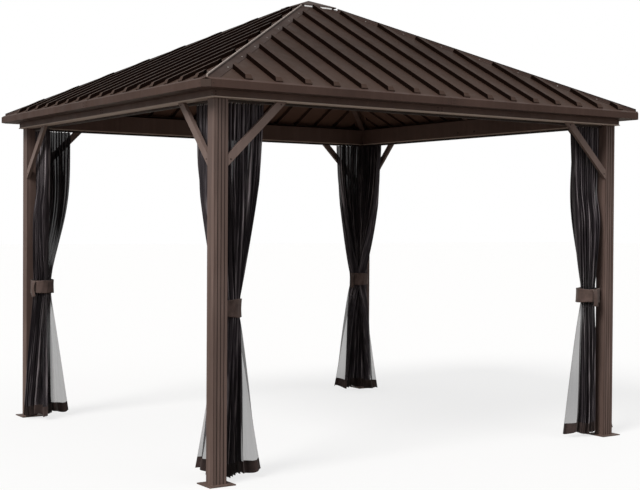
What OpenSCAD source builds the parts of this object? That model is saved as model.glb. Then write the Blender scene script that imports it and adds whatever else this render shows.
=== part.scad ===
// Garden gazebo: four fluted posts, a square beam frame with knee braces, and a low
// four-sided roof of ribbed metal sheets with hip covers, eave trim and a raised top cap.
// A mosquito curtain is gathered and tied at each post.
// Millimetres. The origin is on the ground at the centre of the plan, +Z is up.
// The front is towards -Y and the right is towards +X.

/* [Plan] */
// Outer side of the square roof, over the eave trim
eave_size = 3000; // [2400:10:4200]
// Eave overhang past the outer face of the beams
eave_overhang = 100; // [60:5:250]

/* [Posts] */
// Ground to the underside of the beams
beam_z = 1922; // [1700:2:2400]
// Side of the square posts
post_size = 76; // [60:1:120]
// Wall of the posts
post_wall = 4; // [3:0.5:8]
// Post face behind the beam face
post_inset = 18; // [6:1:40]
// Width of one flute
flute_w = 5; // [3:0.5:8]
// Depth of one flute and of the corner rebate
flute_depth = 2.4; // [1:0.2:2.6]
// Spacing of the three flutes on a fluted face
flute_pitch = 19; // [12:0.5:24]

/* [Foot plates] */
// Plate margin around the post
foot_margin = 34; // [24:1:60]
// Plate thickness
foot_t = 6; // [4:0.5:12]
// Anchor hole diameter
foot_hole_d = 11; // [6:0.5:16]
// Height of the socket inside the post
socket_h = 80; // [40:5:160]
// Wall of the socket
socket_wall = 4; // [3:0.5:8]

/* [Beams] */
// Sheet thickness of the beam channel
beam_t = 3; // [2:0.5:5]
// Width of the sloping top flange that carries the sheets
beam_flange = 30; // [20:1:45]
// Bottom lip standing out of the beam face
beam_lip = 4; // [2:0.5:10]
// Height of that lip
beam_lip_h = 6; // [3:0.5:12]
// Open seam between the two halves of a beam or trim
seam_gap = 2; // [1:0.5:6]
// Length of the sleeve inside each beam seam
splice_len = 300; // [150:10:500]
// Height of that sleeve
splice_h = 60; // [40:5:80]

/* [Braces] */
// Run of a brace along the beam, and its drop down the post
brace_run = 334; // [240:2:480]
// Face width of a brace
brace_w = 40; // [25:1:60]
// Thickness of a brace
brace_t = 20; // [12:1:30]

/* [Roof] */
// Slope of the roof
roof_angle = 26.2; // [15:0.2:35]
// Sheet thickness
sheet_t = 2; // [1:0.5:4]
// Spacing of the ribs
rib_pitch = 172; // [120:1:240]
// Number of ribs on each side of the roof
rib_count = 16; // [8:2:20]
// Sideways offset of the row of ribs from the middle of a side
rib_shift = 52; // [0:1:80]
// Rib height above the sheet
rib_h = 20; // [12:1:35]
// Rib width at the foot
rib_base = 46; // [30:1:60]
// Rib width at the top
rib_top = 32; // [16:1:44]
// Wall of a rib
rib_wall = 2; // [1:0.5:4]
// Height that a rib falls to at its eave end
rib_end_h = 7; // [4:1:24]
// Length over which it falls, measured flat
rib_end_len = 12; // [10:1:120]
// Hip cover width on each side of the hip, measured flat
hip_wing = 50; // [24:1:80]
// Height of the raised fold along the hip
hip_fold_h = 13; // [8:1:22]
// Width of that fold at its foot, each side of the hip
hip_fold_w = 6; // [6:1:18]
// Width of the rafters
rafter_w = 36; // [24:1:50]
// Depth of the middle rafters
rafter_d = 45; // [30:1:70]
// Gap between a rafter end and the beam flange
rafter_gap = 2; // [1:0.5:10]
// Gap between a rib and a hip cover
rib_hip_gap = 2; // [1:0.5:10]
// Gap between a rib end and the eave trim
rib_eave_gap = 8; // [2:1:20]
// Gap between a rib end and the edge of the cap
rib_cap_gap = 5; // [2:1:20]
// Gap between a hip cover and the eave trim
cover_eave_gap = 4; // [1:1:12]
// Sheet thickness of the hip covers
cover_t = 1.5; // [1:0.5:4]
// Half width of the vent opening at the peak
vent_half = 122; // [90:1:160]
// Crown ring outside the edge of that opening
ring_under = 20; // [10:1:40]
// Crown ring inside the edge of that opening
ring_inside = 14; // [10:1:30]

/* [Eave trim] */
// Height of the trim face
trim_h = 38; // [30:1:80]
// Trim underside above the beam underside
trim_drop = 38; // [20:1:70]
// Top lip of the trim, over the sheets
trim_lip = 24; // [14:1:40]
// Sheet thickness of the trim
trim_t = 2; // [1:0.5:4]
// Size of the cut-off corner of the eave
corner_cut = 36; // [20:1:60]

/* [Top cap] */
// Cap past the edge of the vent opening
cap_lap = 8; // [4:1:60]
// Slope of the cap
cap_angle = 20.5; // [12:0.5:30]
// Height of the cap edge over the sheets below it
cap_lift = 16; // [12:1:50]
// Depth of the turned-down edge
cap_edge = 4; // [3:1:20]
// Thickness of the insect screen in the vent
screen_t = 4; // [2:0.5:6]
// Gap between that screen and the edge of the vent opening
screen_gap = 4; // [2:0.5:8]

/* [Mosquito curtains] */
// Length of rail that one gathered curtain takes up
gather_len = 220; // [120:5:320]
// Thickness of the gathered curtain at the rail
gather_t = 20; // [12:1:40]
// Height where the two wings of a gathered curtain have met
gather_z = 1150; // [900:10:1500]
// Radius of the curtain at that height
gather_r = 78; // [50:1:100]
// Radius of the tied waist
waist_r = 68; // [40:1:80]
// Height of the middle of the waist
waist_z = 872; // [600:2:1200]
// Height of the tie band
tie_h = 88; // [50:1:140]
// Thickness of the tie band
tie_t = 4; // [2:0.5:8]
// Reach of the gathered foot along each side
foot_reach = 240; // [120:5:300]
// Width of the gathered foot
foot_w = 60; // [40:5:120]
// Outward shift of the front right waist, along the front
waist_shift_right = 88; // [0:2:90]
// Outward shift of the back left waist, along the left side
waist_shift_back = 76; // [0:2:90]
// Gap between a gathered curtain and the post
curtain_gap = 6; // [3:0.5:15]
// Height of the curtain foot over the foot plate
curtain_lift = 1; // [0.5:0.5:20]
// Height of the rails
rail_h = 12; // [8:1:20]
// Width of the rails
rail_w = 20; // [14:1:30]
// Wall of the rails
rail_wall = 2; // [1:0.5:3]
// Width of the slot under the rails
rail_slot = 6; // [4:0.5:10]
// Rails outside the inner faces of the posts
rail_offset = 14; // [0:1:30]

/* [Fit] */
// Clearance between pieces that lie on one another on the slope
fit_gap = 0.3; // [0.1:0.1:1]
// Gap between the edge of the sheets and the eave trim
panel_gap = 3; // [1:0.5:8]
// Gap at a mitred corner
mitre_gap = 0.6; // [0.2:0.1:2]
// Gap between a tie band and the waist inside it
tie_gap = 0.6; // [0.3:0.1:2]

/* [Hidden] */

// Plan lines, as distances from the centre to one side
eave_half = eave_size / 2;
beam_out = eave_half - eave_overhang;
post_out = beam_out - post_inset;
post_in = post_out - post_size;
post_mid = post_out - post_size / 2;
reach = eave_size + beam_z;
socket_out = post_size - 2 * post_wall - 2 * fit_gap;

// Roof surfaces. The underside of the sheets is a plane on each side.
slope = tan(roof_angle);
upright = 1 / cos(roof_angle);
trim_z = beam_z + trim_drop;
trim_top = trim_z + trim_h;
corner_clear = corner_cut + (trim_t + mitre_gap) * sqrt(2);
sheet_v = sheet_t * upright;
sheet_eave_z = trim_top - trim_t * upright - fit_gap - sheet_v;
function sheet_under(r) = sheet_eave_z + (eave_half - r) * slope;
function sheet_over(r) = sheet_under(r) + sheet_v;

// Beam channel
flange_in = beam_out - beam_flange;
flange_v = beam_t * upright;
rafter_v = rafter_d * upright;
web_seat = post_in + beam_t;
splice_w = beam_out - beam_t - web_seat - 2 * fit_gap;
web_top = sheet_under(web_seat) - fit_gap - rafter_v - fit_gap;

// Rafters and crown ring
ring_out = vent_half + ring_under;
ring_in = vent_half - ring_inside;
ring_corner = ring_out * sqrt(2) - rafter_w / 2;
ring_z = sheet_under(ring_out) - fit_gap - rafter_v;
rafter_out = flange_in - rafter_gap;
hip_drop = rafter_w / 2 / sqrt(2) * slope;
hip_v = rafter_v - hip_drop;
hip_low = rafter_out * sqrt(2) - rafter_w / 2;
hip_high = ring_corner + fit_gap;
function hip_line(d) = sheet_under(d / sqrt(2)) - hip_drop - fit_gap;

// Top cap outline
cap_half = vent_half + cap_lap;

// Hip covers
hip_angle = atan(slope / sqrt(2));
hip_fold_drop = hip_fold_w * sin(hip_angle);
cover_low = eave_half - trim_lip - cover_eave_gap;
cover_high = cap_half + rib_cap_gap;
cover_v = cover_t * upright;

// Cap
cap_slope = tan(cap_angle);
cap_v = sheet_t / cos(cap_angle);
cap_z = sheet_over(cap_half) + cap_lift;
function cap_under(r) = cap_z + (cap_half - r) * cap_slope;
screen_out = vent_half - screen_gap;
screen_in = screen_out - screen_t;
screen_z = sheet_under(screen_in);

// Ribs
rib_low = eave_half - trim_lip - rib_eave_gap;
rib_high = cap_half + rib_cap_gap;
rib_clear = (hip_wing + rib_hip_gap) * sqrt(2);
rib_ramp = slope + (rib_h - rib_end_h) * upright / rib_end_len;
rib_ramp_wall = rib_wall * sqrt(1 + rib_ramp * rib_ramp);
rib_end_z = sheet_over(rib_low) + rib_end_h * upright;

// Curtains
slice_h = 2;
rail_in = post_in + rail_offset;
rail_mid = rail_in + rail_w / 2;
rail_z = beam_z - rail_h;
curtain_edge = post_in - curtain_gap;
curtain_top = rail_z - fit_gap;
curtain_out = rail_mid + gather_t / 2;
gather_mid = curtain_edge - gather_r;
waist_mid = curtain_edge - tie_t - tie_gap - waist_r;
waist_x = [0, -waist_shift_right, 0, 0];
waist_y = [0, 0, 0, -waist_shift_back];
waist_low = waist_z - tie_h / 2 - 2 * slice_h;
waist_high = waist_z + tie_h / 2 + slice_h;

post_color = [0.36, 0.31, 0.28];
sheet_color = [0.25, 0.20, 0.18];
trim_color = [0.38, 0.33, 0.29];
net_color = [0.10, 0.10, 0.11];
tie_color = [0.24, 0.16, 0.14];
screen_color = [0.86, 0.86, 0.84];

// Turns a front piece to side k: 0 front, 1 right, 2 back, 3 left
module side(k) rotate([0, 0, 90 * k]) children();

// Turns a front left piece to corner k: 0 front left, 1 front right, 2 back right, 3 back left
module corner(k) rotate([0, 0, 90 * k]) children();

// Mirrors a front left piece so that its faces stay on the same sides of the plan
module place(sx, sy)
  mirror([sx > 0 ? 1 : 0, 0, 0])
    mirror([0, sy > 0 ? 1 : 0, 0])
      children();

// Runs a section along a front side: section x is the distance outwards, section y is height
module run(len)
  rotate([90, 0, -90])
    linear_extrude(height = len, center = true)
      children();

// Upright wedge over one quarter of the plan, on the front side, drawn back by gap
module quarter(gap)
  translate([0, -gap, 0])
    linear_extrude(height = reach)
      polygon([[0, 0], [-reach, -reach], [reach, -reach]]);

// One mitred side made of two halves with a seam in the middle
module two_halves(gap)
  difference() {
    intersection() {
      run(2 * reach) children();
      quarter(gap);
    }
    translate([-seam_gap / 2, -reach, 0])
      cube([seam_gap, reach, 2 * reach]);
  }

// Section of a thin sloping layer of the roof between two distances from the centre
module sheet_section(r_low, r_high, lift, thick)
  polygon([
    [r_low, sheet_under(r_low) + lift],
    [r_low, sheet_under(r_low) + lift + thick],
    [r_high, sheet_under(r_high) + lift + thick],
    [r_high, sheet_under(r_high) + lift]
  ]);

// ---------------------------------------------------------------- posts

// Front left post: flutes on its front face, plain side face, rebate on the outer corner
module post() color(post_color)
  translate([-post_mid, -post_mid, foot_t])
    linear_extrude(height = beam_z - foot_t)
      difference() {
        square(post_size, center = true);
        square(post_size - 2 * post_wall, center = true);
        for (i = [-1:1])
          translate([i * flute_pitch - flute_w / 2, -post_size / 2 - 1])
            square([flute_w, flute_depth + 1]);
        for (s = [-1, 1])
          translate([s * (post_size / 2) - flute_depth, -post_size / 2 - 1])
            square([2 * flute_depth, flute_depth + 1]);
      }

// Foot plate with its socket and four anchor holes
module foot_plate() color(post_color)
  translate([-post_mid, -post_mid, 0])
    difference() {
      union() {
        translate([-post_size / 2 - foot_margin, -post_size / 2 - foot_margin, 0])
          cube([post_size + 2 * foot_margin, post_size + 2 * foot_margin, foot_t]);
        linear_extrude(height = foot_t + socket_h)
          square(socket_out, center = true);
      }
      translate([0, 0, foot_t])
        linear_extrude(height = socket_h + 1)
          square(socket_out - 2 * socket_wall, center = true);
      for (sx = [-1, 1], sy = [-1, 1])
        translate([
          sx * (post_size + foot_margin) / 2,
          sy * (post_size + foot_margin) / 2,
          -1
        ])
          cylinder(h = foot_t + 2, d = foot_hole_d, $fn = 48);
    }

// Two braces of the front side, flush with the outer faces of the posts
module knee_braces() color(post_color)
  for (s = [0, 1])
    mirror([s, 0, 0])
      translate([-post_in, -post_out + brace_t, beam_z])
        rotate([90, 0, 0])
          linear_extrude(height = brace_t)
            polygon([
              [0, -brace_run],
              [brace_run, 0],
              [brace_run - brace_w * sqrt(2), 0],
              [0, -brace_run + brace_w * sqrt(2)]
            ]);

// ---------------------------------------------------------------- beams

// Beam channel of the front side
module beam() color(post_color)
  two_halves(mitre_gap / 2)
    polygon([
      [beam_out, beam_z + beam_lip_h],
      [beam_out, sheet_under(beam_out) - fit_gap],
      [flange_in, sheet_under(flange_in) - fit_gap],
      [flange_in, sheet_under(flange_in) - fit_gap - flange_v],
      [beam_out - beam_t, sheet_under(beam_out - beam_t) - fit_gap - flange_v],
      [beam_out - beam_t, beam_z + beam_t],
      [web_seat, beam_z + beam_t],
      [web_seat, web_top],
      [post_in, web_top],
      [post_in, beam_z],
      [beam_out + beam_lip, beam_z],
      [beam_out + beam_lip, beam_z + beam_lip_h]
    ]);

// Sleeve lying in the channel across each seam
module beam_splice() color(post_color)
  run(splice_len)
    difference() {
      translate([web_seat + fit_gap, beam_z + beam_t])
        square([splice_w, splice_h]);
      translate([web_seat + fit_gap + beam_t, beam_z + 2 * beam_t])
        square([splice_w - 2 * beam_t, splice_h]);
    }

// Curtain rail of the front side, slotted underneath
module curtain_rail() color(post_color)
  run(2 * post_in - 2 * fit_gap)
    difference() {
      translate([rail_in, rail_z])
        square([rail_w, rail_h]);
      translate([rail_in + rail_wall, rail_z + rail_wall])
        square([rail_w - 2 * rail_wall, rail_h - 2 * rail_wall]);
      translate([rail_mid - rail_slot / 2, rail_z - rail_wall])
        square([rail_slot, 3 * rail_wall]);
    }

// ---------------------------------------------------------------- roof

// Ribbed sheet of the front side. The ribs are hollow and open to the inside of the roof
// and at the eave, where they slope down, and they stop short of the hip covers.
module roof_panel() color(sheet_color)
  difference() {
    union() {
      intersection() {
        run(2 * reach)
          sheet_section(eave_half - trim_t - panel_gap, vent_half, 0, sheet_v);
        quarter(fit_gap);
      }
      rib_row(rib_clear, rib_high, 0)
        rib_bar(rib_base, rib_top, 0, rib_h + sheet_t / 2);
    }
    corner_cuts(corner_clear);
    rib_row(rib_clear + rib_wall * sqrt(2), rib_high + rib_wall, rib_ramp_wall)
      rib_bar(rib_base - 2 * rib_wall, rib_top - 2 * rib_wall,
        -2 * sheet_t, rib_h + sheet_t / 2 - rib_wall);
  }

// Row of ribs or of the channels inside them, ending at the hips and below the cap, under
// a ramp at the eave end that lies drop lower for the channels
module rib_row(clear, high, drop)
  intersection() {
    quarter(clear);
    for (i = [0:rib_count - 1])
      translate([(i - (rib_count - 1) / 2) * rib_pitch + rib_shift, 0, 0])
        intersection() {
          children();
          run(2 * rib_base)
            polygon([
              [rib_low, 0],
              [rib_low, rib_end_z - drop],
              [high, rib_end_z - drop + (rib_low - high) * rib_ramp],
              [high, 0]
            ]);
        }
  }

// Trapezoid bar running up the slope, its section measured square to the sheet
module rib_bar(foot, top, low, high)
  translate([0, -eave_half, sheet_under(eave_half) + sheet_v / 2])
    rotate([roof_angle, 0, 0])
      rotate([90, 0, 0])
        translate([0, 0, -2 * eave_half])
          linear_extrude(height = 2.5 * eave_half)
            polygon([
              [-foot / 2, low],
              [foot / 2, low],
              [top / 2, high],
              [-top / 2, high]
            ]);

// Layer over the two sheets that meet at the front left hip
module hip_layer(r_low, r_high, lift, thick)
  for (k = [0, 3])
    side(k)
      intersection() {
        run(2 * reach)
          sheet_section(r_low, r_high, lift, thick);
        quarter(0);
      }

// Folded cover along the front left hip
module hip_cover() color(trim_color)
  union() {
    intersection() {
      hip_layer(cover_low, vent_half + 4, sheet_v + fit_gap, cover_v);
      rotate([0, 0, -135])
        translate([0, -hip_wing, 0])
          cube([2 * reach, 2 * hip_wing, 2 * reach]);
    }
    intersection() {
      hip_fold();
      translate([-cover_low, -cover_low, 0])
        cube([cover_low - cover_high, cover_low - cover_high, 2 * reach]);
    }
  }

// Raised fold standing on the hip cover
module hip_fold()
  rotate([0, 0, -45])
    translate([0, -eave_half * sqrt(2), sheet_over(eave_half) + fit_gap])
      rotate([hip_angle, 0, 0])
        rotate([90, 0, 0])
          translate([0, 0, -2.2 * eave_half])
            linear_extrude(height = 2.4 * eave_half)
              polygon([
                [-hip_fold_w, -hip_fold_drop],
                [-hip_fold_w / 3, hip_fold_h],
                [hip_fold_w / 3, hip_fold_h],
                [hip_fold_w, -hip_fold_drop],
                [0, 0]
              ]);

// Rafter under the front left hip, from the beam corner to the crown ring
module hip_rafter()
  rotate([0, 0, -45])
    run(rafter_w)
      polygon([
        [hip_low, hip_line(hip_low)],
        [hip_high, hip_line(hip_high)],
        [hip_high, hip_line(hip_high) - hip_v],
        [hip_low, hip_line(hip_low) - hip_v]
      ]);

// Rafter under the middle of the front side
module middle_rafter()
  run(rafter_w)
    sheet_section(rafter_out, ring_out + fit_gap, -fit_gap - rafter_v, rafter_v);

// Ring at the peak that the rafters and the sheets end on
module crown_ring() color(post_color)
  intersection() {
    for (k = [0:3])
      side(k)
        intersection() {
          run(2 * reach)
            polygon([
              [ring_out, ring_z],
              [ring_out, sheet_under(ring_out) - fit_gap],
              [ring_in, sheet_under(ring_in) - fit_gap],
              [ring_in, ring_z]
            ]);
          quarter(0);
        }
    rotate([0, 0, 45])
      translate([-ring_corner, -ring_corner, 0])
        cube([2 * ring_corner, 2 * ring_corner, 2 * reach]);
  }

// Pale insect screen standing in the vent gap
module vent_screen() color(screen_color)
  difference() {
    translate([-screen_out, -screen_out, screen_z])
      cube([2 * screen_out, 2 * screen_out, cap_under(screen_out) - fit_gap - screen_z]);
    translate([-screen_in, -screen_in, 0])
      cube([2 * screen_in, 2 * screen_in, 2 * reach]);
  }

// Four-sided cap over the vent
module top_cap() color(trim_color)
  union() {
    for (k = [0:3])
      side(k)
        intersection() {
          run(2 * reach)
            polygon([
              [cap_half, cap_z],
              [cap_half, cap_z + cap_v],
              [0, cap_under(0) + cap_v],
              [0, cap_under(0)]
            ]);
          quarter(0);
        }
    difference() {
      translate([-cap_half, -cap_half, cap_z - cap_edge])
        cube([2 * cap_half, 2 * cap_half, cap_edge + cap_v]);
      translate([-cap_half + sheet_t, -cap_half + sheet_t, 0])
        cube([2 * (cap_half - sheet_t), 2 * (cap_half - sheet_t), 2 * reach]);
    }
  }

// ---------------------------------------------------------------- eave trim

// Trim of the front side in two halves: face, sloping lip over the sheets, flat soffit
module eave_trim() color(trim_color)
  difference() {
    two_halves(mitre_gap / 2)
      trim_section(trim_t);
    corner_cuts(corner_clear);
  }

// Section of the eave trim
module trim_section(t)
  polygon([
    [eave_half, trim_z],
    [eave_half, trim_top],
    [eave_half - trim_lip, trim_top + trim_lip * slope],
    [eave_half - trim_lip, trim_top + trim_lip * slope - t * upright],
    [eave_half - t, trim_top + t * slope - t * upright],
    [eave_half - t, trim_z + t],
    [beam_out + fit_gap, trim_z + t],
    [beam_out + fit_gap, trim_z]
  ]);

// Uprights that take the corners off a square of the eave size
module corner_cuts(cut)
  for (k = [0:3])
    corner(k)
      rotate([0, 0, -45])
        translate([-reach, (cut - eave_size) / sqrt(2) - reach, 0])
          cube([2 * reach, reach, 2 * reach]);

// Closing piece of the front left eave corner
module eave_corner()
  intersection() {
    rotate([0, 0, -45])
      translate([-reach, (corner_cut - eave_size) / sqrt(2), trim_z])
        cube([2 * reach, trim_t, trim_h]);
    translate([-eave_half, -eave_half, 0])
      cube([eave_half, eave_half, 2 * reach]);
  }

// ---------------------------------------------------------------- curtains

// Gathered curtain of corner k: two wings from the rails to one tied waist, and its foot
module curtain(k) color(net_color)
  corner(k)
    union() {
      hull() {
        translate([-curtain_edge, -curtain_out, curtain_top - slice_h])
          cube([gather_len, gather_t, slice_h]);
        gather_slice();
      }
      hull() {
        translate([-curtain_out, -curtain_edge, curtain_top - slice_h])
          cube([gather_t, gather_len, slice_h]);
        gather_slice();
      }
      hull() {
        gather_slice();
        waist_slice(k, waist_high, slice_h);
      }
      waist_slice(k, waist_low, waist_high - waist_low + slice_h);
      hull() {
        waist_slice(k, waist_low, slice_h);
        translate([-curtain_edge, -curtain_edge, foot_t + curtain_lift])
          linear_extrude(height = slice_h)
            polygon([
              [0, 0], [foot_reach, 0], [foot_reach, foot_w],
              [foot_w, foot_reach], [0, foot_reach]
            ]);
      }
    }

// Round slice where the two wings meet
module gather_slice()
  translate([-gather_mid, -gather_mid, gather_z])
    cylinder(h = slice_h, r = gather_r, $fn = 12);

// Round slice of the tied waist
module waist_slice(k, z, height)
  translate([waist_x[k] - waist_mid, waist_y[k] - waist_mid, z])
    cylinder(h = height, r = waist_r, $fn = 12);

// Band around the waist of corner k
module curtain_tie(k)
  corner(k)
    translate([waist_x[k] - waist_mid, waist_y[k] - waist_mid, waist_z - tie_h / 2])
      difference() {
        cylinder(h = tie_h, r = waist_r + tie_gap + tie_t, $fn = 12);
        translate([0, 0, -1])
          cylinder(h = tie_h + 2, r = waist_r + tie_gap, $fn = 12);
      }

// ---------------------------------------------------------------- drawing

module post_front_left() place(-1, -1) post();
module post_front_right() place(1, -1) post();
module post_back_right() place(1, 1) post();
module post_back_left() place(-1, 1) post();
module foot_plate_front_left() place(-1, -1) foot_plate();
module foot_plate_front_right() place(1, -1) foot_plate();
module foot_plate_back_right() place(1, 1) foot_plate();
module foot_plate_back_left() place(-1, 1) foot_plate();
module knee_braces_front() side(0) knee_braces();
module knee_braces_right() side(1) knee_braces();
module knee_braces_back() side(2) knee_braces();
module knee_braces_left() side(3) knee_braces();
module beam_front() side(0) beam();
module beam_right() side(1) beam();
module beam_back() side(2) beam();
module beam_left() side(3) beam();
module beam_splices() color(post_color) for (k = [0:3]) side(k) beam_splice();
module curtain_rails() color(post_color) for (k = [0:3]) side(k) curtain_rail();
module roof_panel_front() side(0) roof_panel();
module roof_panel_right() side(1) roof_panel();
module roof_panel_back() side(2) roof_panel();
module roof_panel_left() side(3) roof_panel();
module hip_cover_front_left() corner(0) hip_cover();
module hip_cover_front_right() corner(1) hip_cover();
module hip_cover_back_right() corner(2) hip_cover();
module hip_cover_back_left() corner(3) hip_cover();
module eave_trim_front() side(0) eave_trim();
module eave_trim_right() side(1) eave_trim();
module eave_trim_back() side(2) eave_trim();
module eave_trim_left() side(3) eave_trim();
module eave_corners() color(trim_color) for (k = [0:3]) corner(k) eave_corner();
module hip_rafters() color(post_color) for (k = [0:3]) corner(k) hip_rafter();
module middle_rafters() color(post_color) for (k = [0:3]) side(k) middle_rafter();
module curtain_front_left() curtain(0);
module curtain_front_right() curtain(1);
module curtain_back_right() curtain(2);
module curtain_back_left() curtain(3);
module curtain_ties() color(tie_color) for (k = [0:3]) curtain_tie(k);

post_front_left();
post_front_right();
post_back_right();
post_back_left();
foot_plate_front_left();
foot_plate_front_right();
foot_plate_back_right();
foot_plate_back_left();
knee_braces_front();
knee_braces_right();
knee_braces_back();
knee_braces_left();
beam_front();
beam_right();
beam_back();
beam_left();
beam_splices();
curtain_rails();
roof_panel_front();
roof_panel_right();
roof_panel_back();
roof_panel_left();
hip_cover_front_left();
hip_cover_front_right();
hip_cover_back_right();
hip_cover_back_left();
eave_trim_front();
eave_trim_right();
eave_trim_back();
eave_trim_left();
eave_corners();
hip_rafters();
middle_rafters();
crown_ring();
vent_screen();
top_cap();
curtain_front_left();
curtain_front_right();
curtain_back_right();
curtain_back_left();
curtain_ties();
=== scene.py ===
"""Looks of the garden gazebo: coated metal frame and roof, and gathered mosquito curtains."""

import math

import bmesh
import bpy
import numpy as np
from mathutils import Matrix, Vector


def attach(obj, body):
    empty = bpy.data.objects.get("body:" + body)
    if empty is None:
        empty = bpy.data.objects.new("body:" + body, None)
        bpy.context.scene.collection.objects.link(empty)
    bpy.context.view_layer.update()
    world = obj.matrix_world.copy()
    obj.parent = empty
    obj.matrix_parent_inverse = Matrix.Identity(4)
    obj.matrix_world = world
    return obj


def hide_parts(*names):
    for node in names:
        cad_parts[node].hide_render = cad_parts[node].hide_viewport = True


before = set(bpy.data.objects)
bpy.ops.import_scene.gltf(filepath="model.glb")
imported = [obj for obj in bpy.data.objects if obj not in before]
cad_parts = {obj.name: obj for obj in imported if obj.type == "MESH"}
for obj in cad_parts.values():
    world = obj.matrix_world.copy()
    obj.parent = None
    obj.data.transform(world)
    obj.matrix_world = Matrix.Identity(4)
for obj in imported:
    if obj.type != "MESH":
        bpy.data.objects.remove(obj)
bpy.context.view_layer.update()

# ---------------------------------------------------------------- sizes, in metres

POST_IN = 1.306  # inner face of the posts, from the centre
POST_OUT = 1.382  # outer face of the posts
RAIL_MID = 1.330  # middle of the curtain rails
POST_MID = 1.344  # middle of the posts
RAIL_Z = 1.910  # underside of the rails
WAIST_Z = 0.872  # middle of the tie bands
TIE_H = 0.088  # height of the tie bands
TAIL_W = 0.034  # width of a tie's loose end
HEM_Z = 0.014  # bottom of the netting
CURTAIN_TOP = 1.9095  # top of the netting
CURTAIN_W = 1.50  # flat width of one curtain
HEM_H = 0.068  # brown hem along the bottom
HEAD_H = 0.022  # top strip of the netting, under the rail
BEAM_Z = 1.922  # underside of the beams
BEAM_OUT = 1.400  # outer face of the beams
EAVE = 1.500  # outer face of the eave trim
TRIM_Z = 1.960  # underside of the eave trim
RIB_PITCH = 0.172  # spacing of the ribs, and of the screws on the hip covers
GROOVE_FLOOR = 0.0368  # floor of a post groove, from the middle of the post
FOLD_EDGE = 0.0048  # edge of the painted line on a hip fold, from the hip: painted highlight on two hips, painted shade on the other two
BAND_R = 0.0710  # radius of a tie band
BUNDLE_HALF = 0.044  # half length of one wing's bundle inside the tie
BUNDLE_ASIDE = 0.026  # how far one wing's bundle lies aside of the tie's middle
RAIL_START = 0.012  # first hook of a gathered curtain, from the post
RAIL_END = 0.228  # last hook of a gathered curtain, from the post
BRACE_FACE = 1.332  # inner face of the knee braces

CORNERS = ("front_left", "front_right", "back_right", "back_left")
SIDES = ("front", "right", "back", "left")

# ---------------------------------------------------------------- materials


class Nodes:
    """Small helper for building one node material."""

    def __init__(self, name):
        self.mat = bpy.data.materials.new(name)
        self.mat.use_nodes = True
        self.tree = self.mat.node_tree
        self.shader = self.tree.nodes["Principled BSDF"]
        self.coords = self.tree.nodes.new("ShaderNodeTexCoord")

    def new(self, kind, **sockets):
        n = self.tree.nodes.new("ShaderNode" + kind)
        for key, value in sockets.items():
            n.inputs[key.replace("_", " ")].default_value = value
        return n

    def link(self, a, b):
        self.tree.links.new(a, b)

    def scaled(self, scale, space="Object"):
        """Coordinates of that space, stretched by scale."""
        m = self.new("Mapping")
        m.inputs["Scale"].default_value = scale
        self.link(self.coords.outputs[space], m.inputs["Vector"])
        return m.outputs["Vector"]

    def noise(self, scale, stretch, detail, rough, space="Object"):
        n = self.new("TexNoise", Scale=scale, Detail=detail, Roughness=rough)
        self.link(self.scaled(stretch, space), n.inputs["Vector"])
        return n.outputs["Fac"]

    def ramp(self, fac, stops):
        """Colour ramp from (position, colour) stops."""
        n = self.new("ValToRGB")
        e = n.color_ramp.elements
        while len(e) < len(stops):
            e.new(0.5)
        for i, (pos, col) in enumerate(stops):
            e[i].position = pos
            e[i].color = (*col, 1)
        self.link(fac, n.inputs["Fac"])
        return n.outputs["Color"]

    def spread(self, fac, low, high, from_low=0.3, from_high=0.7):
        """Value between low and high as fac runs from from_low to from_high."""
        n = self.new("MapRange")
        n.inputs["From Min"].default_value = from_low
        n.inputs["From Max"].default_value = from_high
        n.inputs["To Min"].default_value = low
        n.inputs["To Max"].default_value = high
        self.link(fac, n.inputs["Value"])
        return n.outputs["Result"]

    def mix(self, fac, a, b):
        """Colour a, turning into b as fac grows; each may be a socket or a value."""
        n = self.new("Mix")
        n.data_type = "RGBA"
        for value, socket in ((fac, n.inputs[0]), (a, n.inputs[6]), (b, n.inputs[7])):
            if hasattr(value, "is_output"):
                self.link(value, socket)
            else:
                socket.default_value = (
                    value if isinstance(value, (int, float)) else (*value, 1)
                )
        return n.outputs[2]

    def bump(self, height, strength, distance, after=None):
        n = self.new("Bump", Strength=strength, Distance=distance)
        self.link(height, n.inputs["Height"])
        if after is not None:
            self.link(after, n.inputs["Normal"])
        return n.outputs["Normal"]

    def math(self, how, a, b=0.0):
        n = self.new("Math")
        n.operation = how
        for value, socket in ((a, n.inputs[0]), (b, n.inputs[1])):
            if isinstance(value, (int, float)):
                socket.default_value = value
            else:
                self.link(value, socket)
        return n.outputs["Value"]

    def times(self, a, b):
        return self.math("MULTIPLY", a, b)

    def split(self, space):
        """X, Y and Z of the coordinates of that space."""
        n = self.new("SeparateXYZ")
        self.link(self.coords.outputs[space], n.inputs["Vector"])
        return n.outputs["X"], n.outputs["Y"], n.outputs["Z"]

    def place(self):
        """X and Y of a point of the frame."""
        return self.split("Object")[:2]

    def height(self):
        return self.split("Object")[2]

    def upness(self):
        """Height part of the surface's own direction: 1 facing up, -1 facing down."""
        return self.split("Normal")[2]


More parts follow.
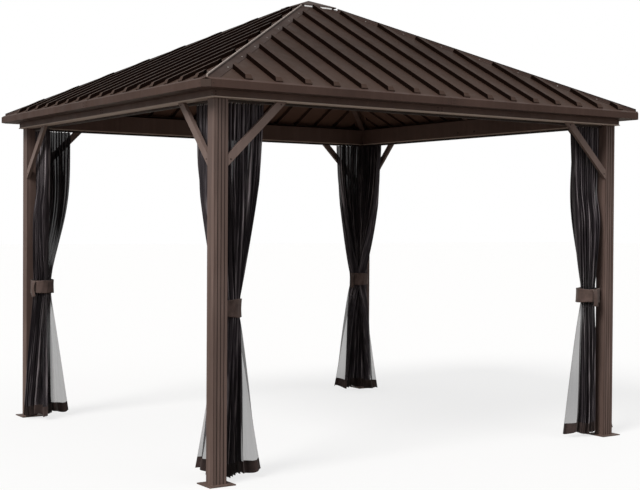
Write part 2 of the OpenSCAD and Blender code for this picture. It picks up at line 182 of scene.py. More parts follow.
def coated_metal(
    name, dark, light, rough=0.45, shine=0.30, grain=1.0, marks=(), dull=None, streaks=0.35
):
    """Powder-coated steel: fine orange peel, soft tone changes, faint streaks and wear.

    marks are (mask maker, colour, share) layers laid over the plain coat, most of them painted
    highlights, painted light and painted shade, and dull is the mask of the faces that have no
    shine, used with painted shade. streaks is how strong the streaks are.
    """
    m = Nodes(name)
    tone = m.noise(2.2, (1, 1, 0.35), 4.0, 0.6)
    color = m.ramp(tone, [(0.32, dark), (0.68, light)])
    streak = m.noise(26.0, (1, 1, 0.05), 3.0, 0.6)
    color = m.mix(
        m.spread(streak, 0.0, streaks, 0.5, 0.8),
        color,
        [min(1.0, c * (1.0 + streaks)) for c in light],
    )
    speck = m.noise(420.0, (1, 1, 1), 2.0, 0.6)
    color = m.mix(m.spread(speck, 0.0, 0.4, 0.55, 0.8), color, [c * 0.5 for c in dark])
    for mask, over, share in marks:
        color = m.mix(m.times(mask(m), share), color, over)
    m.link(color, m.shader.inputs["Base Color"])
    wear = m.noise(9.0, (1, 1, 0.4), 5.0, 0.65)
    m.link(m.spread(wear, rough - 0.08, rough + 0.12), m.shader.inputs["Roughness"])
    peel = m.noise(650.0, (1, 1, 1), 2.0, 0.5)
    dents = m.noise(7.0, (1, 1, 1), 2.0, 0.4)
    n = m.bump(dents, 0.12, 0.002)
    m.link(m.bump(peel, 0.10 * grain, 0.0004, n), m.shader.inputs["Normal"])
    m.shader.inputs["Specular IOR Level"].default_value = shine
    if dull is not None:
        m.link(m.spread(dull(m), shine, 0.0, 0.0, 1.0), m.shader.inputs["Specular IOR Level"])
    return m.mat


def painted_shade_rib_sides(m):
    """Faces turned across the run of their own roof side, the two sides of each rib, which get
    painted shade.
    """
    x, y = m.place()
    facing_x, facing_y, _ = m.split("Normal")
    front = m.math("GREATER_THAN", m.math("ABSOLUTE", y), m.math("ABSOLUTE", x))
    on_front = m.times(m.math("ABSOLUTE", facing_x), front)
    on_side = m.times(m.math("ABSOLUTE", facing_y), m.math("SUBTRACT", 1.0, front))
    return m.spread(m.math("ADD", on_front, on_side), 0.0, 1.0, 0.40, 0.65)


def near_eave(m):
    """Lower part of the roof, which is paler than the part near the peak."""
    return m.spread(m.height(), 1.0, 0.0, TRIM_Z + 0.04, TRIM_Z + 0.30)


def underside(m):
    """Faces turned to the ground, which get painted light: a paler brown standing in for light
    under the roof.
    """
    return m.spread(m.upness(), 1.0, 0.0, -0.45, -0.15)


def painted_hip_fold(m):
    """Narrow band along the hips, where the fold of the covers stands; it carries a painted
    highlight on two hips and painted shade on the other two.
    """
    x, y = m.place()
    gap = m.math("ABSOLUTE", m.math("SUBTRACT", m.math("ABSOLUTE", x), m.math("ABSOLUTE", y)))
    return m.spread(gap, 1.0, 0.0, FOLD_EDGE - 0.0008, FOLD_EDGE + 0.0007)


def painted_shade_post_grooves(m):
    """Floors of the grooves that run up the posts, which get painted shade."""
    x, y = m.place()
    off = [
        m.math("ABSOLUTE", m.math("SUBTRACT", m.math("ABSOLUTE", v), POST_MID))
        for v in (x, y)
    ]
    return m.spread(m.math("MAXIMUM", *off), 1.0, 0.0, GROOVE_FLOOR - 0.0006, GROOVE_FLOOR + 0.0006)


def height_band(low, high):
    """Band between two heights."""
    soft = 0.001  # softness of its edges

    def mask(m):
        z = m.height()
        return m.times(
            m.spread(z, 0.0, 1.0, low - soft, low + soft),
            m.spread(z, 1.0, 0.0, high - soft, high + soft),
        )

    return mask


def netting(name):
    """Black knitted netting: dense where it is gathered, see-through along the loose free edge, and
    painted paler grey in long bands as light on its folds.
    """
    m = Nodes(name)
    thread = m.noise(1400.0, (1, 0.25, 1), 2.0, 0.7, "UV")
    knit_bands_and_painted_light = m.noise(26.0, (1, 0.06, 1), 3.0, 0.6, "UV")
    # painted light: long bands paint the black net up to pale grey, standing in for light on its
    # folds; the same bands vary how see-through the knit is
    color = m.ramp(
        knit_bands_and_painted_light,
        [
            (0.38, (0.014, 0.011, 0.014)),
            (0.54, (0.052, 0.043, 0.050)),
            (0.72, (0.480, 0.430, 0.455)),
        ],
    )
    m.link(color, m.shader.inputs["Base Color"])
    flat_x, flat_y, _ = m.split("UV")
    loose = m.times(  # the free edge, from just below the tie
        m.spread(flat_x, 0.0, 1.0, CURTAIN_W * 0.86, CURTAIN_W * 0.92),
        m.spread(flat_y, 0.0, 1.0, 1.08, 1.18),
    )
    cover = m.spread(loose, 0.95, 0.60, 0.0, 1.0)
    both = m.mix(0.5, thread, knit_bands_and_painted_light)
    m.link(
        m.math("ADD", cover, m.spread(both, -0.06, 0.06, 0.35, 0.65)),
        m.shader.inputs["Alpha"],
    )
    m.link(m.spread(thread, 0.62, 0.85), m.shader.inputs["Roughness"])
    m.link(m.bump(thread, 0.3, 0.0005), m.shader.inputs["Normal"])
    m.shader.inputs["Specular IOR Level"].default_value = 0.2
    m.shader.inputs["Sheen Weight"].default_value = 0.12
    m.shader.inputs["Sheen Roughness"].default_value = 0.4
    return m.mat


def woven(name, dark, light):
    """Closely woven brown band: hem, edge binding and ties."""
    m = Nodes(name)
    across = m.noise(900.0, (1, 0.12, 1), 2.0, 0.6, "UV")
    along = m.noise(900.0, (0.12, 1, 1), 2.0, 0.6, "UV")
    weave = m.mix(0.5, across, along)
    tone = m.noise(18.0, (1, 1, 1), 3.0, 0.6, "UV")
    color = m.ramp(tone, [(0.3, dark), (0.7, light)])
    color = m.mix(
        m.spread(weave, 0.0, 0.55, 0.45, 0.75), color, [c * 0.45 for c in dark]
    )
    m.link(color, m.shader.inputs["Base Color"])
    m.link(m.spread(weave, 0.70, 0.90), m.shader.inputs["Roughness"])
    m.link(m.bump(weave, 0.45, 0.0006), m.shader.inputs["Normal"])
    m.shader.inputs["Sheen Weight"].default_value = 0.2
    return m.mat


def pale_screen_painted_glow(name):
    """Fine insect screen, woven on the square: pale, with a painted glow on front and back and
    painted shade on the sides.
    """
    m = Nodes(name)
    fine = m.noise(700.0, (1, 1, 0.2), 2.0, 0.6)
    soft = m.noise(12.0, (1, 1, 1), 3.0, 0.6)
    color = m.ramp(soft, [(0.3, (0.70, 0.69, 0.68)), (0.7, (0.86, 0.86, 0.85))])
    color = m.mix(m.spread(fine, 0.0, 0.35, 0.5, 0.8), color, (0.45, 0.44, 0.43))
    x, y = m.place()
    across = m.math("SUBTRACT", m.math("ABSOLUTE", y), m.math("ABSOLUTE", x))
    # painted shade on the sides and corners of the screen
    shaded = m.spread(across, 1.0, 0.0, 0.012, 0.020)
    color = m.mix(shaded, color, (0.030, 0.020, 0.017))
    m.link(color, m.shader.inputs["Base Color"])
    # painted light: the screen glows near-white, except where the painted shade lies
    m.link(
        m.mix(shaded, (1.0, 0.99, 0.97), (0.012, 0.008, 0.007)),
        m.shader.inputs["Emission Color"],
    )
    m.link(m.spread(fine, 0.45, 0.65), m.shader.inputs["Roughness"])
    m.link(m.bump(fine, 0.3, 0.0008), m.shader.inputs["Normal"])
    m.shader.inputs["Emission Strength"].default_value = 0.55
    return m.mat


def zinc(name):
    """Dull plated steel of the small screws and hooks."""
    m = Nodes(name)
    soft = m.noise(120.0, (1, 1, 1), 4.0, 0.6)
    m.link(
        m.ramp(soft, [(0.3, (0.42, 0.40, 0.38)), (0.7, (0.62, 0.60, 0.57))]),
        m.shader.inputs["Base Color"],
    )
    m.link(m.spread(soft, 0.32, 0.5), m.shader.inputs["Roughness"])
    m.link(m.bump(soft, 0.2, 0.0003), m.shader.inputs["Normal"])
    m.shader.inputs["Metallic"].default_value = 0.85
    return m.mat


FRAME_METAL = coated_metal(
    "frame_coat",
    (0.108, 0.071, 0.060),
    (0.165, 0.114, 0.100),
    streaks=0.8,
    # painted shade: the groove floors are painted dark
    marks=[(painted_shade_post_grooves, (0.030, 0.019, 0.015), 0.85)],
)
# painted light: the braces get a paler copy of the frame coat, as if lit
BRACE_METAL_PAINTED_LIT = coated_metal("brace_coat_painted_lit", (0.160, 0.112, 0.097), (0.215, 0.155, 0.137))
BEAM_METAL = coated_metal(
    "beam_coat",
    (0.116, 0.071, 0.058),
    (0.162, 0.104, 0.087),
    # painted highlight: a pale band along the beams' lower lip
    marks=[(height_band(BEAM_Z - 0.01, BEAM_Z + 0.006), (0.64, 0.52, 0.45), 0.95)],
)
TRIM_METAL = coated_metal(
    "trim_coat",
    (0.058, 0.033, 0.026),
    (0.086, 0.051, 0.041),
    shine=0.18,
)
CORNER_METAL = coated_metal(
    "corner_coat", (0.040, 0.025, 0.020), (0.062, 0.040, 0.032), 0.5, 0.2
)
# painted highlight: a pale line along the fold of the front left and back right hip covers
COVER_PAINTED_HIGHLIGHT = coated_metal(
    "cover_coat_painted_highlight",
    (0.035, 0.020, 0.016),
    (0.052, 0.031, 0.025),
    shine=0.15,
    marks=[(painted_hip_fold, (0.50, 0.43, 0.39), 0.95)],
)
# painted shade: a near-black line along the fold of the other two hip covers
COVER_PAINTED_SHADE = coated_metal(
    "cover_coat_painted_shade",
    (0.035, 0.020, 0.016),
    (0.052, 0.031, 0.025),
    shine=0.10,
    marks=[(painted_hip_fold, (0.006, 0.004, 0.003), 0.95)],
)
CAP_METAL = coated_metal(
    "cap_coat", (0.042, 0.026, 0.021), (0.064, 0.041, 0.034), shine=0.18
)
ROOF_METAL = coated_metal(
    "roof_coat",
    (0.031, 0.017, 0.0125),
    (0.046, 0.026, 0.019),
    0.50,
    0.14,
    1.4,
    marks=[
        (near_eave, (0.078, 0.048, 0.037), 0.7),
        # painted shade: the rib sides are painted near-black, and dull below takes away their shine
        (painted_shade_rib_sides, (0.004, 0.002, 0.0015), 0.95),
        # painted light: the underside is painted paler brown in place of the light it lacks under
        # the roof
        (underside, (0.17, 0.095, 0.070), 0.8),
    ],
    dull=painted_shade_rib_sides,
)
RAIL_METAL = coated_metal("rail_coat", (0.030, 0.020, 0.017), (0.048, 0.034, 0.029))
SCREEN_PAINTED_GLOW = pale_screen_painted_glow("vent_mesh_painted_glow")
NETTING = netting("curtain_netting")
HEM = woven("hem_weave", (0.022, 0.011, 0.010), (0.050, 0.027, 0.023))
TIE = woven("tie_weave", (0.064, 0.038, 0.032), (0.125, 0.080, 0.067))
ZINC = zinc("plated_steel")


def coat(node, material, bevel=0.0):
    """Gives a CAD node its material, and rounds its edges a little."""
    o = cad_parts[node]
    o.data.materials.clear()
    o.data.materials.append(material)
    for p in o.data.polygons:
        p.material_index = 0
    if bevel:
        b = o.modifiers.new("edges", "BEVEL")
        b.width = bevel
        b.segments = 2
        b.limit_method = "ANGLE"
        b.angle_limit = math.radians(35)
        b.use_clamp_overlap = True


for corner in CORNERS:
    coat("post_" + corner, FRAME_METAL, 0.0010)
    coat("foot_plate_" + corner, FRAME_METAL, 0.0008)
    # the front left and back right hips get the painted highlight, the other two the painted shade
    cover = COVER_PAINTED_HIGHLIGHT if corner in ("front_left", "back_right") else COVER_PAINTED_SHADE
    coat("hip_cover_" + corner, cover)
for side in SIDES:
    coat("knee_braces_" + side, BRACE_METAL_PAINTED_LIT, 0.0015)
    coat("beam_" + side, BEAM_METAL, 0.0007)
    coat("roof_panel_" + side, ROOF_METAL)
    coat("eave_trim_" + side, TRIM_METAL, 0.0006)
coat("beam_splices", BEAM_METAL)
coat("curtain_rails", RAIL_METAL)
coat("eave_corners", CORNER_METAL, 0.0006)
coat("hip_rafters", BEAM_METAL, 0.0010)
coat("middle_rafters", BEAM_METAL, 0.0010)
coat("crown_ring", BEAM_METAL)
coat("top_cap", CAP_METAL)
coat("vent_screen", SCREEN_PAINTED_GLOW)

# ---------------------------------------------------------------- mesh helpers


def add_piece(name, mesh):
    """Makes an object of the gazebo that rides on the fixed frame."""
    o = bpy.data.objects.new(name, mesh)
    bpy.context.scene.collection.objects.link(o)
    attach(o, "root")
    return o


def cloth_piece(name, verts, faces, materials, indices, uvs):
    """Smooth piece with flat coordinates, and a material for each face if indices are given."""
    mesh = bpy.data.meshes.new(name)
    mesh.from_pydata([tuple(v) for v in verts], [], faces)
    for m in materials:
        mesh.materials.append(m)
    if indices is not None:
        mesh.polygons.foreach_set("material_index", np.array(indices, np.int32))
    layer = mesh.uv_layers.new(name="cloth")
    loops = np.zeros(len(mesh.loops), np.int32)
    mesh.loops.foreach_get("vertex_index", loops)
    layer.data.foreach_set("uv", np.asarray(uvs, np.float32)[loops].ravel())
    mesh.polygons.foreach_set("use_smooth", [True] * len(mesh.polygons))
    mesh.update()
    return add_piece(name, mesh)


def metal_piece(name, bm, material):
    """Turns a finished bmesh into a piece of the gazebo."""
    mesh = bpy.data.meshes.new(name)
    bm.to_mesh(mesh)
    bm.free()
    mesh.materials.append(material)
    return add_piece(name, mesh)


def turned(points, k):
    """Local front left points turned to corner or side k."""
    a = math.radians(90 * k)
    c, s = math.cos(a), math.sin(a)
    p = np.asarray(points, float)
    out = p.copy()
    out[..., 0] = p[..., 0] * c - p[..., 1] * s
    out[..., 1] = p[..., 0] * s + p[..., 1] * c
    return out


def grid_faces(rows, cols, closed=False):
    faces = []
    for r in range(rows - 1):
        for c in range(cols if closed else cols - 1):
            d = (c + 1) % cols
            faces.append((r * cols + c, r * cols + d, (r + 1) * cols + d, (r + 1) * cols + c))
    return faces


# ---------------------------------------------------------------- curtains

PLEATS = 12  # folds across one curtain
STEPS = 15  # columns of the mesh in one fold
ROWS_UP = 44
ROWS_WAIST = 6
ROWS_DOWN = 36
HEAD_ROWS = 2
HEM_ROWS = 5
POST_GUARD = POST_IN - 0.005  # the netting keeps clear of the posts
LATE = 1.65  # how late the cloth leaves the rail's line; a higher value is later
DIAG = np.array([1.0, 1.0]) / math.sqrt(2)
OFF_DIAG = np.array([1.0, -1.0]) / math.sqrt(2)

# Waist of each corner, in that corner's own front left frame, as part.scad has it
WAISTS = {
    "front_left": (-1.2274, -1.2274),
    "front_right": (-1.3154, -1.2274),
    "back_right": (-1.2274, -1.2274),
    "back_left": (-1.2274, -1.3034),
}
# Ends of the hem of each wing: (post end, free end). Wing a hangs on the front, b on the left.
HEMS = {
    ("front_left", "a"): ((-1.262, -1.268), (-1.068, -1.298)),
    ("front_left", "b"): ((-1.262, -1.277), (-1.325, -1.068)),
    ("front_right", "a"): ((-1.242, -1.230), (-1.283, -1.490)),
    ("front_right", "b"): ((-1.335, -1.262), (-1.300, -1.040)),
    ("back_right", "a"): ((-1.229, -1.262), (-1.045, -1.285)),
    ("back_right", "b"): ((-1.262, -1.277), (-1.280, -1.030)),
    ("back_left", "a"): ((-1.262, -1.400), (-1.085, -1.318)),
    ("back_left", "b"): ((-1.240, -1.330), (-1.235, -1.120)),
}


def wing_points(corner, wing, seed):
    """Points of one gathered curtain, rows from top to hem, and its flat coordinates.

    Both wings are made as the front left corner's; wing b hangs on the left side.
    """
    rng = np.random.default_rng(seed)
    cols = PLEATS * STEPS + 1
    u = np.linspace(0, 1, cols)
    share = rng.uniform(0.65, 1.35, PLEATS)
    edges = np.concatenate([[0], np.cumsum(share)]) / share.sum()
    phase = np.interp(u, edges, np.arange(PLEATS + 1))
    slope = np.gradient(phase, u)
    slope = np.convolve(np.pad(slope, 4, "edge"), np.ones(9) / 9, "valid")

    waist = np.array(WAISTS[corner])
    aside = OFF_DIAG if wing == "a" else -OFF_DIAG
    top0 = np.array([-POST_IN + RAIL_START, -RAIL_MID])
    top1 = np.array([-POST_IN + RAIL_END, -RAIL_MID])
    if corner == "back_right":  # the two wings meet in front of the post
        top0 = np.array([-POST_IN + 0.022, -POST_IN + 0.022])
    if wing == "b":
        top0, top1 = top0[::-1], top1[::-1]
    w0 = waist - BUNDLE_HALF * DIAG + BUNDLE_ASIDE * aside
    w1 = waist + BUNDLE_HALF * DIAG + BUNDLE_ASIDE * aside
    hem0, hem1 = (np.array(p) for p in HEMS[(corner, wing)])
    # the wing that crosses to a waist beside the post goes round the post's corner
    crosses = (corner, wing) in (("front_right", "a"), ("back_left", "b"))
    detour = 0.026 if crosses else 0.0
    # the post end of the cloth leaves the post early at the back corners
    late = 0.85 if corner in ("back_right", "back_left") else LATE

    z_up = np.linspace(CURTAIN_TOP - HEAD_H, WAIST_Z + TIE_H / 2, ROWS_UP)
    z_up = np.concatenate([np.linspace(CURTAIN_TOP, z_up[0], HEAD_ROWS + 1)[:-1], z_up])
    z_mid = np.linspace(WAIST_Z + TIE_H / 2, WAIST_Z - TIE_H / 2, ROWS_WAIST)[1:]
    z_low = np.linspace(WAIST_Z - TIE_H / 2, HEM_Z + HEM_H, ROWS_DOWN)[1:]
    z_low = np.concatenate([z_low, np.linspace(z_low[-1], HEM_Z, HEM_ROWS + 1)[1:]])
    zs = np.concatenate([z_up, z_mid, z_low])
    drift = rng.uniform(-0.35, 0.35, (PLEATS + 1, 3))
    drift = np.stack([np.interp(phase, np.arange(PLEATS + 1), d) for d in drift.T])
    soft = rng.uniform(0, 2 * math.pi, 6)
    rows, flat = [], []
    run = 0.0
    last = None
    for z in zs:
        if z >= z_up[-1]:  # above the tie
            t = (CURTAIN_TOP - z) / (CURTAIN_TOP - z_up[-1])
            p0 = w0 + (top0 - w0) * (1 - t**late)
            p1 = w1 + (top1 - w1) * (1 - t**LATE)
            push = detour * math.sin(math.pi * min(1.0, t * 1.05)) ** 2
            p0, p1 = p0 + push * DIAG, p1 + push * DIAG
            open_edge = 0.0
            wander = t * (1 - t) * 4
            squeeze = 1.0 - 0.12 * t
        elif z >= z_mid[-1]:  # inside the tie
            p0, p1, open_edge, wander, squeeze = w0, w1, 0.0, 0.0, 0.84
        else:  # below the tie
            t = (z_mid[-1] - z) / (z_mid[-1] - HEM_Z)
            g = t**0.9
            p0 = w0 + (hem0 - w0) * g
            p1 = w1 + (hem1 - w1) * g
            open_edge = min(1.0, 1.15 * g)
            wander = min(1.0, 1.6 * t)
            squeeze = 0.84 + 0.16 * t
        # share of the path that each part of the cloth takes: the free edge opens out
        q = 1.0 + open_edge * 9.0 / (1 + np.exp(-(u - 0.90) / 0.012))
        q = q + 0.25 * np.sin(2 * math.pi * (2.3 * u + 0.6 * z) + soft[0])
        s = np.concatenate([[0], np.cumsum((q[1:] + q[:-1]) / 2)])
        s /= s[-1]
        length = float(np.linalg.norm(p1 - p0))
        ds = np.gradient(s, u) * length
        lateral = np.sqrt(np.maximum(CURTAIN_W**2 - ds**2, 0.0)) / (4 * slope)
        lateral *= squeeze
        angle = 2 * math.pi * phase + wander * (
            drift[0] * math.sin(2.1 * z + soft[1])
            + drift[1] * math.sin(4.7 * z + soft[2])
            + drift[2]
        )
        wave = np.sin(angle)
        wave = np.sign(wave) * np.abs(wave) ** 0.85
        ends = np.clip(np.minimum(u, 1 - u) / 0.02, 0.25, 1)
        along = (p1 - p0) / max(length, 1e-6)
        normal = np.array([-along[1], along[0]])
        xy = p0 + s[:, None] * (p1 - p0)
        xy = xy + (wave * lateral * ends)[:, None] * normal
        sway = 0.006 * wander * np.sin(3.0 * z + soft[3] + 5 * s)
        xy = xy + sway[:, None] * normal
        # clear of the post
        over = -POST_GUARD - xy
        inside = (over > 0).all(axis=1) & (xy > -POST_OUT - 0.004).all(axis=1)
        nearer = np.argmin(over, axis=1)
        for i in np.nonzero(inside)[0]:
            xy[i, nearer[i]] = -POST_GUARD
        # pleats lie flat against the inner face of the braces, and hang free 0.62 m below the beams
        outer = xy[:, 1] if wing == "a" else xy[:, 0]
        hold = min(1.0, max(0.0, (z - BEAM_Z + 0.62) / 0.26))
        hold = hold * hold * (3 - 2 * hold)
        deep = outer < -BRACE_FACE
        outer[deep] -= 0.97 * hold * (outer[deep] + BRACE_FACE)
        zz = np.full(cols, z)
        if z > CURTAIN_TOP - 0.06:  # hangs from hooks, scalloped between them
            high = (z - CURTAIN_TOP + 0.06) / 0.06
            zz -= 0.003 * high * (1 - np.cos(2 * math.pi * phase)) / 2
        if z < HEM_Z + 0.30:  # uneven hem, lower in the middle of the bundle
            low = ((HEM_Z + 0.30 - z) / 0.30) ** 2
            lobes = 1 + np.sin(2 * math.pi * s * 1.6 + soft[4])
            small = 1 + np.sin(2 * math.pi * phase * 0.5 + soft[5])
            zz += low * (0.009 * lobes + 0.003 * small + 0.016 * np.maximum(0, s - 0.5))
        pts = np.column_stack([xy, zz])
        if last is not None:
            run += abs(float(z - last))
        last = z
        rows.append(pts)
        flat.append(np.column_stack([u * CURTAIN_W, np.full(cols, run)]))
    return np.array(rows), np.array(flat)


def make_wing(corner, k, wing, seed):
    pts, flat = wing_points(corner, wing, seed)
    rows, cols = pts.shape[:2]
    world = turned(pts, k).reshape(-1, 3)
    faces = grid_faces(rows, cols)
    index = []
    for r in range(rows - 1):
        low = flat[r, 0, 1] >= CURTAIN_TOP - HEM_Z - HEM_H - 0.001
        index += [1 if low else 0] * (cols - 1)
    name = f"netting_{corner}_{wing}"
    o = cloth_piece(name, world, faces, [NETTING, HEM], index, flat.reshape(-1, 2))
    return o, pts


def band_points(corner, k, seed):
    """Tie band around a waist, with soft wrinkles and a slight flare at its edges."""
    rng = np.random.default_rng(seed)
    cols, rows = 96, 13
    a = np.linspace(0, 2 * math.pi, cols, endpoint=False)
    h = np.linspace(-0.5, 0.5, rows)
    ph = rng.uniform(0, 2 * math.pi, 4)
    pts = []
    for v in h:
        flare = 0.0016 * (2 * abs(v)) ** 3
        wrinkle = 0.0011 * np.sin(7 * a + ph[0] + 2 * v) + 0.0008 * np.sin(
            13 * a + ph[1] - 3 * v
        )
        square = 0.0012 * np.cos(4 * a + ph[2])
        r = BAND_R + flare + wrinkle + square
        edge = 0.0035 * np.sin(a + ph[3]) + 0.0020 * np.sin(3 * a + ph[0])
        z = WAIST_Z + v * TIE_H + edge * 2 * v
        pts.append(
            np.column_stack(
                [
                    WAISTS[corner][0] + r * np.cos(a),
                    WAISTS[corner][1] + r * np.sin(a),
                    z,
                ]
            )
        )
    pts = np.array(pts)
    arc = a * 0.0715  # flat length on the way round
    uv = np.array(
        [np.column_stack([arc, np.full(cols, v * TIE_H)]) for v in h]
    ).reshape(-1, 2)
    return turned(pts, k).reshape(-1, 3), grid_faces(rows, cols, closed=True), uv


def make_tie(corner, k, seed):
    verts, faces, uv = band_points(corner, k, seed)
    o = cloth_piece(f"tie_band_{corner}", verts, faces, [TIE], None, uv)
    s = o.modifiers.new("cloth", "SOLIDIFY")
    s.thickness = 0.0016
    s.offset = 0.0
    return o


def make_tail(corner, k, angle, lean, seed):
    """Loose end of a tie, folded over the band and hanging a little."""
    cols, rows = 9, 16
    base = np.array(WAISTS[corner])
    out = np.array([math.cos(angle), math.sin(angle)])
    across = np.array([-out[1], out[0]])
    pts, uv = [], []
    for i in range(rows):
        v = i / (rows - 1)
        r = 0.0750 + 0.010 * math.sin(math.pi * v) + 0.004 * v
        z = WAIST_Z + 0.034 - 0.100 * v + 0.012 * math.sin(math.pi * v)
        shift = lean * v * v
        for j in range(cols):
            w = (j / (cols - 1) - 0.5) * TAIL_W * (1 - 0.25 * math.sin(math.pi * v))
            cup = 0.004 * math.cos(math.pi * (j / (cols - 1) - 0.5)) * v
            p = base + out * (r + cup) + across * (w + shift)
            pts.append([p[0], p[1], z + 0.002 * math.sin(5 * w / TAIL_W + seed)])
            uv.append([w, v * 0.1])
    world = turned(np.array(pts), k)
    o = cloth_piece(f"tie_end_{corner}", world, grid_faces(rows, cols), [TIE], None, uv)
    s = o.modifiers.new("cloth", "SOLIDIFY")
    s.thickness = 0.0014
    return o


hook_spots = []
for k, corner in enumerate(CORNERS):
    for j, wing in enumerate("ab"):
        o, pts = make_wing(corner, k, wing, 11 + 7 * k + 3 * j)
        top = pts[0]
        world_top = turned(top, k)
        peaks = [
            i
            for i in range(2, len(top) - 2)
            if top[i, 2] >= top[i - 1, 2] and top[i, 2] > top[i + 1, 2]
        ]
        for i in peaks:
            hook_spots.append((world_top[i], "xy"[(k + j) % 2]))

tails = {
    "front_left": (math.radians(20), 0.006),
    "front_right": (math.radians(170), 0.006),
    "back_right": (math.radians(20), -0.004),
    "back_left": (math.radians(-65), 0.004),
}
for k, corner in enumerate(CORNERS):
    band = make_tie(corner, k, 5 + k)
    tail = make_tail(corner, k, *tails[corner], 3 + k)
    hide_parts(f"curtain_{corner}")
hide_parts("curtain_ties")

# ---------------------------------------------------------------- hooks under the rails


def make_hooks():
    """Small plated hooks that run in the rail's slot and hold the top of the netting."""
    bm = bmesh.new()
    for spot, axis in hook_spots:
        x, y, z = spot
        # the stem stands on the rail's middle line
        if axis == "x":
            y = math.copysign(RAIL_MID, y)
        else:
            x = math.copysign(RAIL_MID, x)
        ring = bmesh.ops.create_circle(bm, segments=6, radius=0.0009)
        bmesh.ops.translate(bm, verts=ring["verts"], vec=(x, y, z - 0.002))
        edges = list({e for v in ring["verts"] for e in v.link_edges})
        up = bmesh.ops.extrude_edge_only(bm, edges=edges)
        tops = [v for v in up["geom"] if isinstance(v, bmesh.types.BMVert)]
        bmesh.ops.translate(bm, verts=tops, vec=(0, 0, RAIL_Z + 0.004 - z + 0.002))
        disc = bmesh.ops.create_circle(bm, cap_ends=True, segments=10, radius=0.0028)
        bmesh.ops.translate(bm, verts=disc["verts"], vec=(x, y, RAIL_Z - 0.0012))
        loop = bmesh.ops.create_uvsphere(bm, u_segments=8, v_segments=6, radius=0.0032)
        bmesh.ops.scale(
            bm,
            verts=loop["verts"],
            vec=(0.45, 1.0, 1.2) if axis == "y" else (1.0, 0.45, 1.2),
        )
        bmesh.ops.translate(bm, verts=loop["verts"], vec=(x, y, z - 0.004))
    o = metal_piece("curtain_hooks", bm, ZINC)


make_hooks()

# ---------------------------------------------------------------- screws


def screw(bm, at, normal, radius, height):
    """A low domed screw head standing on a face."""
    n = Vector(normal).normalized()
    turn = n.to_track_quat("Z", "Y").to_matrix().to_4x4()
    place = Matrix.Translation(Vector(at)) @ turn
    count = 12  # corners of a ring
    rings = []
    for share, lift in ((1.0, 0.0), (1.0, 0.35), (0.82, 0.75), (0.45, 1.0)):
        r = radius * share
        ring = []
        for a in np.linspace(0, 2 * math.pi, count, endpoint=False):
            spot = Vector((r * math.cos(a), r * math.sin(a), height * lift))
            ring.append(bm.verts.new(place @ spot))
        rings.append(ring)
    for low, high in zip(rings, rings[1:]):
        for i in range(count):
            j = (i + 1) % count
            bm.faces.new((low[i], low[j], high[j], high[i]))
    bm.faces.new(rings[-1])


def make_screws():
    """Screws at the seams of beams and trim, at the braces' ends and at the eave's corners."""
    bm = bmesh.new()
    for k in range(4):
        a = math.radians(90 * k)
        turn = Matrix.Rotation(a, 4, "Z")

        def put(x, y, z, normal, radius, height):
            at = turn @ Vector((x, y, z))
            screw(bm, at, turn.to_3x3() @ Vector(normal), radius, height)

        for s in (-1, 1):
            put(s * 0.020, -EAVE, TRIM_Z + 0.010, (0, -1, 0), 0.0035, 0.0014)
            put(s * 0.020, -EAVE, TRIM_Z + 0.028, (0, -1, 0), 0.0035, 0.0014)
            for lift in (0.014, 0.029, 0.044):
                put(s * 0.014, -BEAM_OUT, BEAM_Z + lift, (0, -1, 0), 0.0040, 0.0016)
                put(s * (BEAM_OUT - 0.014), -BEAM_OUT, BEAM_Z + lift, (0, -1, 0), 0.0035, 0.0014)
            put(s * (EAVE - 0.048), -EAVE, TRIM_Z + 0.019, (0, -1, 0), 0.0035, 0.0014)
            put(s * (POST_IN - 0.301), -POST_OUT, BEAM_Z - 0.013, (0, -1, 0), 0.0045, 0.0018)
            put(s * (POST_IN - 0.014), -POST_OUT, BEAM_Z - 0.300, (0, -1, 0), 0.0045, 0.0018)
            put(s * 0.090, -POST_IN, BEAM_Z + 0.030, (0, 1, 0), 0.0070, 0.0040)
    o = metal_piece("frame_screws", bm, CORNER_METAL)


make_screws()


def make_hip_screws():
    """A row of small plated screws down each wing of the hip covers."""
    bm = bmesh.new()
    for k, corner in enumerate(CORNERS):
        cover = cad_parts["hip_cover_" + corner]
        turn = Matrix.Rotation(math.radians(90 * k), 3, "Z")
        for along in np.arange(0.27, 1.42, RIB_PITCH):
            for side in (-1, 1):
                off = side * 0.032 / math.sqrt(2)
                spot = turn @ Vector((-along + off, -along - off, 0))
                above = Vector((spot.x, spot.y, 4.0))
                hit, at, normal, _ = cover.ray_cast(above, Vector((0, 0, -1)))
                if hit:
                    screw(bm, at, normal, 0.0038, 0.0018)
    o = metal_piece("hip_screws", bm, ZINC)


make_hip_screws()

# ---------------------------------------------------------------- floor, light, camera


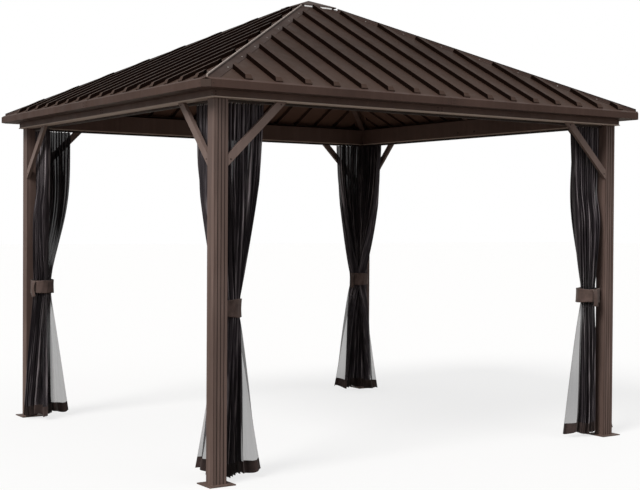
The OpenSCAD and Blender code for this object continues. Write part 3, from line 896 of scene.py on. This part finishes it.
def make_floor():
    """White ground that still shows soft shadows; the gazebo itself sees a dim brown one."""
    mesh = bpy.data.meshes.new("floor")
    s = 60.0  # half side
    mesh.from_pydata([(-s, -s, 0), (s, -s, 0), (s, s, 0), (-s, s, 0)], [], [(0, 1, 2, 3)])
    o = bpy.data.objects.new("floor", mesh)
    bpy.context.scene.collection.objects.link(o)
    mat = bpy.data.materials.new("floor_paper")
    mat.use_nodes = True
    t = mat.node_tree
    t.nodes.clear()
    out = t.nodes.new("ShaderNodeOutputMaterial")
    seen = t.nodes.new("ShaderNodeAddShader")
    glow = t.nodes.new("ShaderNodeEmission")
    glow.inputs["Color"].default_value = (1, 1, 1, 1)
    glow.inputs["Strength"].default_value = 0.74
    paper = t.nodes.new("ShaderNodeBsdfDiffuse")
    paper.inputs["Color"].default_value = (0.25, 0.25, 0.25, 1)
    t.links.new(glow.outputs[0], seen.inputs[0])
    t.links.new(paper.outputs[0], seen.inputs[1])
    bounce = t.nodes.new("ShaderNodeBsdfDiffuse")
    bounce.inputs["Color"].default_value = (0.24, 0.22, 0.20, 1)
    path = t.nodes.new("ShaderNodeLightPath")
    pick = t.nodes.new("ShaderNodeMixShader")
    t.links.new(path.outputs["Is Camera Ray"], pick.inputs["Fac"])
    t.links.new(bounce.outputs[0], pick.inputs[1])
    t.links.new(seen.outputs[0], pick.inputs[2])
    t.links.new(pick.outputs[0], out.inputs["Surface"])
    mesh.materials.append(mat)


make_floor()

# soft light from all round, and plain white where the camera sees past the gazebo
world = bpy.data.worlds.new("studio")
bpy.context.scene.world = world
world.use_nodes = True
wt = world.node_tree
wt.nodes.clear()
w_out = wt.nodes.new("ShaderNodeOutputWorld")
w_light = wt.nodes.new("ShaderNodeBackground")
w_light.inputs["Color"].default_value = (1.0, 0.985, 0.965, 1)
w_light.inputs["Strength"].default_value = 0.42
w_white = wt.nodes.new("ShaderNodeBackground")
w_white.inputs["Color"].default_value = (1, 1, 1, 1)
w_white.inputs["Strength"].default_value = 1.0
w_path = wt.nodes.new("ShaderNodeLightPath")
w_any = wt.nodes.new("ShaderNodeMath")
w_any.operation = "MAXIMUM"
w_pick = wt.nodes.new("ShaderNodeMixShader")
wt.links.new(w_path.outputs["Is Camera Ray"], w_any.inputs[0])
wt.links.new(w_path.outputs["Is Transmission Ray"], w_any.inputs[1])
wt.links.new(w_any.outputs[0], w_pick.inputs["Fac"])
wt.links.new(w_light.outputs[0], w_pick.inputs[1])
wt.links.new(w_white.outputs[0], w_pick.inputs[2])
wt.links.new(w_pick.outputs[0], w_out.inputs["Surface"])


def sun(name, towards, strength, angle, color):
    data = bpy.data.lights.new(name, "SUN")
    data.energy = strength
    data.angle = math.radians(angle)
    data.color = color
    o = bpy.data.objects.new(name, data)
    o.rotation_euler = Vector(towards).to_track_quat("-Z", "Y").to_euler()
    bpy.context.scene.collection.objects.link(o)


sun("key", (0.80, 0.30, -0.75), 2.5, 24, (1.0, 0.98, 0.95))
sun("fill", (-0.25, 0.85, -0.55), 0.4, 50, (0.97, 0.98, 1.0))

scene = bpy.context.scene
scene.view_settings.view_transform = "Standard"

# camera fitted to the photo; its middle lies beside the picture's, hence the shifts
EYE = Vector((-4.2635, -6.958, 1.312))
YAW, PITCH, ROLL = math.radians(35.85), -0.0148, 0.0070
forward = Vector(
    (math.sin(YAW) * math.cos(PITCH), math.cos(YAW) * math.cos(PITCH), math.sin(PITCH))
)
right = Vector((math.cos(YAW), -math.sin(YAW), 0))
up = right.cross(forward)
right_r = math.cos(ROLL) * right + math.sin(ROLL) * up
up_r = -math.sin(ROLL) * right + math.cos(ROLL) * up
camera = bpy.data.objects.new("camera", bpy.data.cameras.new("camera"))
camera.matrix_world = Matrix(
    (
        (right_r.x, up_r.x, -forward.x, EYE.x),
        (right_r.y, up_r.y, -forward.y, EYE.y),
        (right_r.z, up_r.z, -forward.z, EYE.z),
        (0, 0, 0, 1),
    )
)
camera.data.sensor_width = 36.0
camera.data.lens = 70.87
camera.data.shift_x = -0.1296
camera.data.shift_y = -0.0058
camera.data.clip_end = 200.0
scene.collection.objects.link(camera)
scene.camera = camera

bpy.context.view_layer.update()
